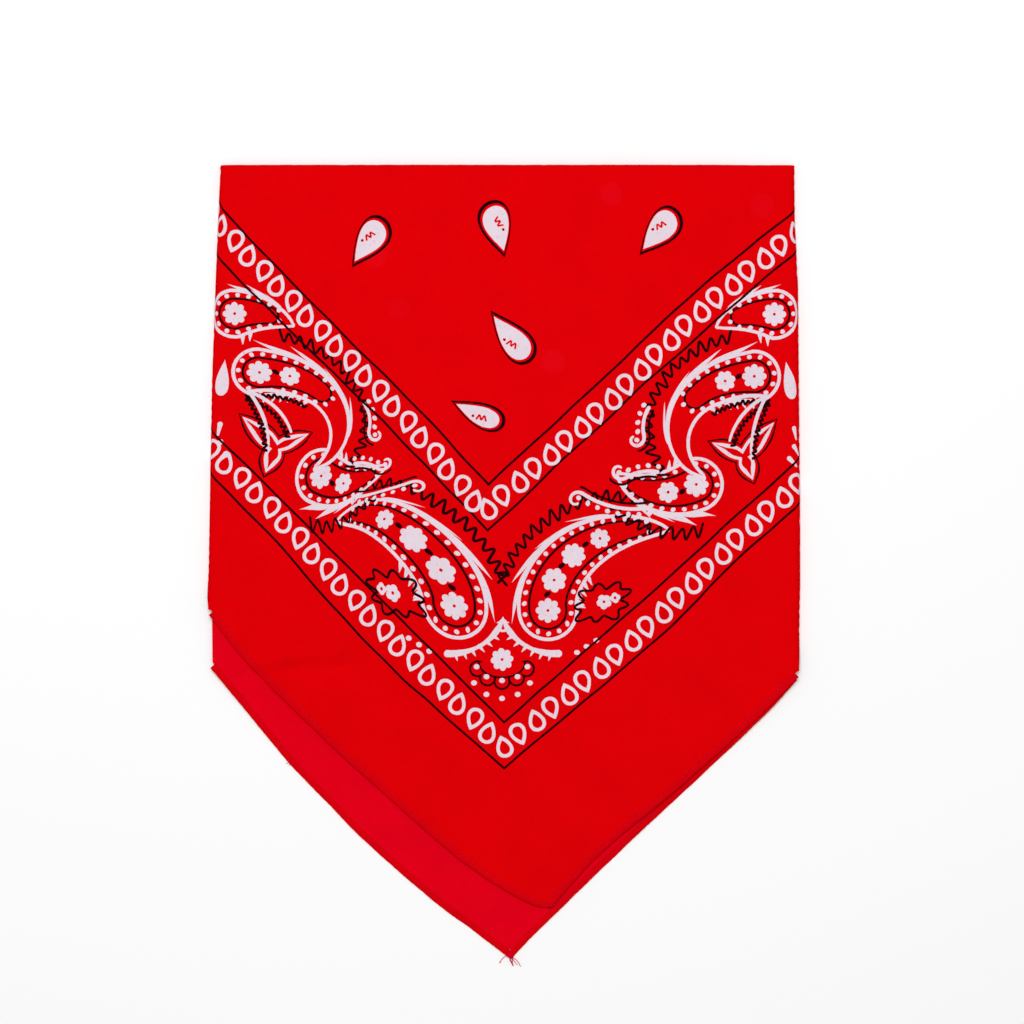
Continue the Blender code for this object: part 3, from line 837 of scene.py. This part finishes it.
def turnedInks(side):
    # the corner's print, turned a quarter round the middle of the square and folded under
    centre = np.array((-16.0, 204.8))
    out = []
    for colour, outline in inks:
        q = outline - centre
        if side == "right":
            q = np.stack((-q[:, 1], q[:, 0]), axis=1) + centre
            out.append((colour, np.stack((2 * 147.6 - q[:, 0], q[:, 1]), axis=1)))
        else:
            q = np.stack((q[:, 1], -q[:, 0]), axis=1) + centre
            out.append((colour, np.stack((-2 * 147.0 - q[:, 0], q[:, 1]), axis=1)))
    return out


def flapPiece(side):
    if side == "left":
        outer = np.vstack((respaced(np.array(((-139.5, topY - 1.6), (-145.4, -19.0))), 2.0),
                respaced(np.array(((-142.5, -19.0), (82.0, topY - 1.6))), 2.0)))
        upper = np.vstack((respaced(np.array(((-139.5, topY - 1.8), (-145.4, -19.0))), 2.0),
                respaced(np.array(((-131.2, -36.4), (85.0, topY - 1.8))), 2.0)))
    else:
        outer = np.vstack((respaced(np.array(((143.4, topY - 1.6), (145.2, -49.0))), 2.0),
                respaced(np.array(((143.0, -49.0), (-86.0, topY - 1.6))), 2.0)))[::-1]
        upper = np.vstack((respaced(np.array(((143.4, topY - 1.8), (145.2, -50.0))), 2.0),
                respaced(np.array(((143.0, -54.0), (-112.0, 177.5), (-92.0, topY - 1.8))), 2.0)))[::-1]
    low = clothMesh(side + "FlapOuter", outer, turnedInks(side), 3.4, flapLay(side), printed, printedUp=False)
    liftBy = flapLay(side)
    high = clothMesh(side + "FlapInner", upper, [], 6.0, lambda p: liftBy(p) + (0, 0, 0.95),
            (redCloth, whiteInk, blackInk, wrongSide), printedUp=True)
    return low, high


flaps = {side: flapPiece(side) for side in ("left", "right")}


# hems
def hemPiece(name, points, inward, top, seed):
    line = smoothPath(points, 0.55)
    out = sideways(line) * inward
    w = hem["width"]
    section = ((0.0, -0.55), (0.06, -0.25), (0.35, -0.02), (0.9, 0.10), (1.7, 0.16), (2.4, 0.10), (2.8, -0.05),
            (3.1, 0.06), (w - 0.1, 0.04), (w, -0.2), (w - 0.1, -0.75), (1.5, -0.82), (0.3, -0.8))
    s = np.arange(len(line)) * 0.55
    rough = np.array([noise.noise(Vector((t * 0.11, seed, 0.5))) for t in s])
    fine = np.array([noise.noise(Vector((t * 0.55, seed, 4.5))) for t in s])
    verts, faces = [], []
    for k, (reach, rise) in enumerate(section):
        wave = np.sin(2 * math.pi * (s + 1.0 * reach) / hem["puckerLength"] + 3 * rough)
        at = line + out * (reach + (0.18 * rough + 0.10 * fine) * (1 if reach < 1 else 0.3))[:, None]
        z = top(at[:, 0], at[:,
                1]) + rise + (hem["pucker"] * wave * (0.6 + 0.9 * fine) + 0.12 * rough) * (1 if rise > -0.5 else 0.25)
        z = np.maximum(z, 0.03 + 0.05 * (rise > -0.5))
        verts.append(np.stack((at[:, 0], at[:, 1], z), axis=1))
    count, n = len(section), len(line)
    for k in range(count):
        for j in range(n - 1):
            a, b, c, d = k * n + j, k * n + j + 1, ((k + 1) % count) * n + j + 1, ((k + 1) % count) * n + j
            faces.append((a, b, c, d) if inward < 0 else (d, c, b, a))
    startCap, endCap = tuple(k * n for k in range(count)), tuple(k * n + n - 1 for k in range(count))
    faces += [startCap if inward < 0 else startCap[::-1], endCap[::-1] if inward < 0 else endCap]
    mesh = bpy.data.meshes.new(name)
    flatPlace = np.vstack(verts)
    mesh.from_pydata((flatPlace * mm).tolist(), [], faces)
    mesh.materials.append(hemCloth)
    mesh.polygons.foreach_set("use_smooth", np.ones(len(faces), bool))
    uv = mesh.uv_layers.new(name="weave")
    loops = np.empty(len(mesh.loops), np.int32)
    mesh.loops.foreach_get("vertex_index", loops)
    uv.data.foreach_set("uv", (flatPlace[loops, :2] * mm).astype(np.float32).ravel())
    mesh.update()
    obj = bpy.data.objects.new(name, mesh)
    bpy.context.scene.collection.objects.link(obj)
    seam = line + out * 2.8
    seamZ = top(seam[:, 0], seam[:, 1]) + 0.03
    return obj, np.column_stack((seam, seamZ))


def flapTop(side, lift):
    f = flapLay(side)
    return lambda x, y: f(np.stack((x, y), axis=1))[:, 2] + lift


hems = {
    "front_hem_left": hemPiece("frontHemLeft", frontHemLeft, 1, lambda x, y: frontTop(x, y) + 0.12, 1),
    "front_hem_right": hemPiece("frontHemRight", frontHemRight, -1, lambda x, y: frontTop(x, y) + 0.12, 2),
    "back_hem_left": hemPiece("backHemLeft", backHemLeft, 1, lambda x,
            y: np.minimum(backTop(x, y), frontTop(x, y) - 1.1) + 0.2, 3),
    "back_hem_right": hemPiece("backHemRight", backHemRight, -1, lambda x,
            y: np.minimum(backTop(x, y), frontTop(x, y) - 1.1) + 0.2, 4),
    "left_flap_hem": hemPiece("leftFlapHem", ((-138.5, -30.0), (88.0, 197.0)), -1, flapTop("left", 0.45), 5),
    "right_flap_hem": hemPiece("rightFlapHem", ((138.5, -52.0), (-89.0, 196.5)), 1, flapTop("right", 0.45), 6),
}
print("hems made")

# stitches, by Geometry Nodes
stitch = {"long": 1.9, "thick": 0.34, "spacing": 2.9}


def stitchTree():
    tree = bpy.data.node_groups.new("stitchRow", "GeometryNodeTree")
    tree.interface.new_socket("Geometry", in_out="INPUT", socket_type="NodeSocketGeometry")
    sockets = {}
    for label, value in (("Spacing", stitch["spacing"] * mm), ("Length", stitch["long"] * mm),
            ("Thickness", stitch["thick"] * mm)):
        socket = tree.interface.new_socket(label, in_out="INPUT", socket_type="NodeSocketFloat")
        socket.default_value = value
        sockets[label] = socket.identifier
    socket = tree.interface.new_socket("Material", in_out="INPUT", socket_type="NodeSocketMaterial")
    sockets["Material"] = socket.identifier
    tree.interface.new_socket("Geometry", in_out="OUTPUT", socket_type="NodeSocketGeometry")
    node = tree.nodes.new
    link = tree.links.new
    start, end = node("NodeGroupInput"), node("NodeGroupOutput")
    curve = node("GeometryNodeMeshToCurve")
    link(start.outputs[0], curve.inputs["Mesh"])
    points = node("GeometryNodeCurveToPoints")
    points.mode = "LENGTH"
    link(curve.outputs["Curve"], points.inputs["Curve"])
    link(start.outputs["Spacing"], points.inputs["Length"])
    capsule = node("GeometryNodeMeshIcoSphere")
    capsule.inputs["Radius"].default_value = 0.5
    capsule.inputs["Subdivisions"].default_value = 2
    shape = node("ShaderNodeCombineXYZ")
    link(start.outputs["Thickness"], shape.inputs["X"])
    link(start.outputs["Thickness"], shape.inputs["Y"])
    link(start.outputs["Length"], shape.inputs["Z"])
    spread = node("FunctionNodeRandomValue")
    spread.data_type = "FLOAT_VECTOR"
    spread.inputs["Min"].default_value = (0.85, 0.85, 0.75)
    spread.inputs["Max"].default_value = (1.2, 1.2, 1.1)
    spread.inputs["Seed"].default_value = 7
    scale = node("ShaderNodeVectorMath")
    scale.operation = "MULTIPLY"
    link(shape.outputs[0], scale.inputs[0])
    link(spread.outputs["Value"], scale.inputs[1])
    place = node("GeometryNodeInstanceOnPoints")
    link(points.outputs["Points"], place.inputs["Points"])
    link(capsule.outputs["Mesh"], place.inputs["Instance"])
    link(points.outputs["Rotation"], place.inputs["Rotation"])
    link(scale.outputs["Vector"], place.inputs["Scale"])
    real = node("GeometryNodeRealizeInstances")
    link(place.outputs["Instances"], real.inputs["Geometry"])
    paint = node("GeometryNodeSetMaterial")
    link(real.outputs["Geometry"], paint.inputs["Geometry"])
    link(start.outputs["Material"], paint.inputs["Material"])
    smooth = node("GeometryNodeSetShadeSmooth")
    link(paint.outputs["Geometry"], smooth.inputs["Geometry"])
    link(smooth.outputs["Geometry"], end.inputs[0])
    return tree, sockets


def stitchRow(name, seam, tree, sockets):
    mesh = bpy.data.meshes.new(name)
    mesh.from_pydata((seam * mm).tolist(), [(k, k + 1) for k in range(len(seam) - 1)], [])
    obj = bpy.data.objects.new(name, mesh)
    bpy.context.scene.collection.objects.link(obj)
    modifier = obj.modifiers.new("Stitches", "NODES")
    modifier.node_group = tree
    modifier[sockets["Material"]] = threadRed
    depsgraph = bpy.context.evaluated_depsgraph_get()
    made = bpy.data.meshes.new_from_object(obj.evaluated_get(depsgraph))
    obj.modifiers.clear()
    obj.data = made
    if not made.uv_layers.get("weave"):
        uv = made.uv_layers.new(name="weave")
        co = np.empty(len(made.vertices) * 3, np.float32)
        made.vertices.foreach_get("co", co)
        loops = np.empty(len(made.loops), np.int32)
        made.loops.foreach_get("vertex_index", loops)
        uv.data.foreach_set("uv", co.reshape(-1, 3)[loops, :2].ravel())
    return obj


tree, sockets = stitchTree()
stitches = {node: stitchRow(piece.name + "Stitches", seam, tree, sockets) for node,
        (piece, seam) in hems.items()}
print("stitches made")

# loose threads
looseThreads = (
    (0.30, ((3.0, -196.4, 0.9), (0.6, -197.0, 1.2), (-1.2, -198.6, 0.8), (-2.0, -200.2, 0.5))),
    (0.55, ((-1.9, -199.9, 0.6), (-2.1, -200.5, 0.6))),
    (0.60, ((3.0, -196.6, 0.9), (2.8, -198.8, 1.1), (4.0, -200.6, 0.8), (4.6, -202.0, 0.7))),
    (0.45, ((3.6, -197.0, 0.9), (4.4, -199.2, 1.2), (4.0, -201.2, 0.6))),
    (0.28, ((4.0, -197.8, 0.8), (6.0, -198.6, 1.2), (7.2, -200.4, 0.7), (8.4, -202.4, 0.5))),
    (0.25, ((4.2, -198.4, 0.8), (5.6, -200.2, 0.9), (6.6, -201.6, 0.5))),
    (0.22, ((-107.4, -100.0, 0.8), (-108.4, -100.9, 0.9), (-109.2, -100.4, 0.5))),
    (0.30, ((-107.0, -100.4, 0.8), (-107.6, -101.6, 0.6))),
    (0.40, ((23.6, -171.0, 3.4), (24.8, -170.6, 3.6), (25.3, -171.4, 3.3))))


def threadPiece():
    data = bpy.data.curves.new("looseThreads", "CURVE")
    data.dimensions = "3D"
    data.bevel_depth = 1.0 * mm
    data.bevel_resolution = 2
    data.use_fill_caps = True
    for thick, points in looseThreads:
        spline = data.splines.new("NURBS")
        spline.points.add(len(points) - 1)
        for point, (x, y, z) in zip(spline.points, points):
            point.co = (x * mm, y * mm, z * mm, 1)
            point.radius = thick / 2
        spline.use_endpoint_u = True
        spline.order_u = 3
    curve = bpy.data.objects.new("looseThreadsCurve", data)
    bpy.context.scene.collection.objects.link(curve)
    mesh = bpy.data.meshes.new_from_object(curve.evaluated_get(bpy.context.evaluated_depsgraph_get()))
    bpy.data.objects.remove(curve)
    mesh.materials.clear()
    mesh.materials.append(threadRed)
    if not mesh.uv_layers.get("weave"):
        mesh.uv_layers.new(name="weave")
    obj = bpy.data.objects.new("looseThreads", mesh)
    bpy.context.scene.collection.objects.link(obj)
    return obj


threads = threadPiece()

# what each piece stands for
for piece, node in ((frontCloth, "front_layer"), (backCloth, "back_layer"), (flaps["left"][0], "left_flap"),
        (flaps["right"][0], "right_flap")):
    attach(piece, "root")
    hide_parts(node)
for side in flaps:
    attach(flaps[side][1], "root")
for node, (piece, seam) in hems.items():
    for extra in (piece, stitches[node]):
        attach(extra, "root")
    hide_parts(node)
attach(threads, "root")


# floor, light, camera
bpy.ops.mesh.primitive_plane_add(size=6, location=(0, 0, 0))
floor = bpy.context.object
floor.name = "floor"
paper = bpy.data.materials.new("paleFloor")
paper.use_nodes = True
paper.node_tree.nodes["Principled BSDF"].inputs["Base Color"].default_value = (0.97, 0.97, 0.97, 1)
paper.node_tree.nodes["Principled BSDF"].inputs["Roughness"].default_value = 1.0
paper.node_tree.nodes["Principled BSDF"].inputs["Specular IOR Level"].default_value = 0.0
floor.data.materials.append(paper)

light = {"world": 0.46, "key": 28.5, "keySize": 1.1, "keyPlace": (-0.12, 0.62, 2.0)}
world = bpy.data.worlds.new("studio")
world.use_nodes = True
world.node_tree.nodes["Background"].inputs["Color"].default_value = (1, 1, 1, 1)
world.node_tree.nodes["Background"].inputs["Strength"].default_value = light["world"]
bpy.context.scene.world = world
lamp = bpy.data.lights.new("key", "AREA")
lamp.energy = light["key"]
lamp.size = light["keySize"]
key = bpy.data.objects.new("key", lamp)
key.location = light["keyPlace"]
key.rotation_mode = "QUATERNION"
key.rotation_quaternion = (Vector((0, 0, 0)) - key.location).to_track_quat("-Z", "Y")
bpy.context.scene.collection.objects.link(key)
bpy.context.scene.view_settings.view_transform = "Standard"
bpy.context.scene.view_settings.look = "None"

camera = bpy.data.cameras.new("camera")
camera.lens = 100
camera.sensor_width = 36
eye = bpy.data.objects.new("camera", camera)
eye.location = (0.004, 0.02525, 0.512 * 100 / 36 + 0.003)
bpy.context.scene.collection.objects.link(eye)
bpy.context.scene.camera = eye
